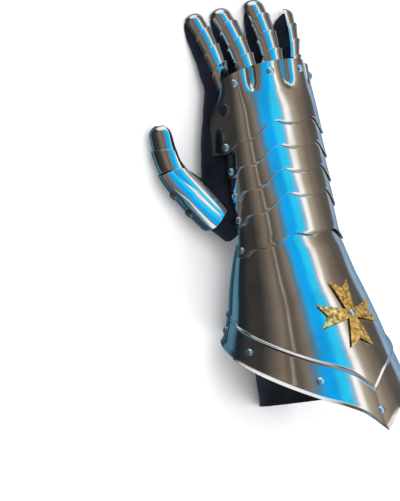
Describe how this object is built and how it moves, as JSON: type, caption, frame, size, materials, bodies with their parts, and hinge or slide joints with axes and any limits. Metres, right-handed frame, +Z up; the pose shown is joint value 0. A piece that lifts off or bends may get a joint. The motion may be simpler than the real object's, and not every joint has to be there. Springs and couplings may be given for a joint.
{
  "type": "armoured gauntlet",
  "caption": "Plate gauntlet for the right hand: flared pointed cuff, overlapping wrist lames, hand plate, jointed finger plates and a leather glove.",
  "frame": {"origin": "on the surface that it rests on, under the middle of its footprint", "axes": "+Y from the cuff to the fingertips, +X to the little finger's side, +Z up from the palm to the back of the hand"},
  "size_m": [0.1948, 0.3808, 0.1852],
  "materials": {
    "steel": "polished mild steel",
    "rivet_steel": "domed bright rivets",
    "dark_rivet": "flat darkened rivets",
    "brass": "polished sheet brass",
    "leather": "black suede"
  },
  "bodies": {
    "root": {"hand_plate": "steel", "wrist_lame_1": "steel", "wrist_lame_2": "steel", "wrist_lame_3": "steel", "wrist_lame_4": "steel", "cuff_plate": "steel", "cuff_under_plate": "steel", "index_finger_plate_1": "steel", "index_finger_plate_2": "steel", "index_finger_plate_3": "steel", "index_finger_plate_4": "steel", "middle_finger_plate_1": "steel", "middle_finger_plate_2": "steel", "middle_finger_plate_3": "steel", "middle_finger_plate_4": "steel", "ring_finger_plate_1": "steel", "ring_finger_plate_2": "steel", "ring_finger_plate_3": "steel", "ring_finger_plate_4": "steel", "little_finger_plate_1": "steel", "little_finger_plate_2": "steel", "little_finger_plate_3": "steel", "little_finger_plate_4": "steel", "thumb_base_plate": "steel", "thumb_middle_plate": "steel", "thumb_tip_plate": "steel", "leather_glove": "leather", "glove_cuff": "leather", "glove_hem": "leather", "thumb_leather": "leather", "index_finger_leather": "leather", "middle_finger_leather": "leather", "ring_finger_leather": "leather", "little_finger_leather": "leather", "brass_cross": "brass", "cross_rivet": "rivet_steel", "index_knuckle_rivet": "rivet_steel", "middle_knuckle_rivet": "rivet_steel", "ring_knuckle_rivet": "rivet_steel", "little_knuckle_rivet": "rivet_steel", "hand_side_rivet": "dark_rivet", "ear_rivet_thumb_1": "rivet_steel", "ear_rivet_thumb_2": "rivet_steel", "ear_rivet_thumb_3": "rivet_steel", "ear_rivet_thumb_4": "rivet_steel", "ear_rivet_thumb_5": "rivet_steel", "ear_rivet_little_1": "rivet_steel", "ear_rivet_little_2": "rivet_steel", "ear_rivet_little_3": "rivet_steel", "ear_rivet_little_4": "rivet_steel", "ear_rivet_little_5": "rivet_steel", "band_rivet_1": "rivet_steel", "band_rivet_2": "rivet_steel", "band_rivet_3": "rivet_steel", "band_rivet_4": "rivet_steel", "band_rivet_5": "rivet_steel", "thumb_rivet_1": "dark_rivet", "thumb_rivet_2": "dark_rivet"}
  },
  "joints": []
}
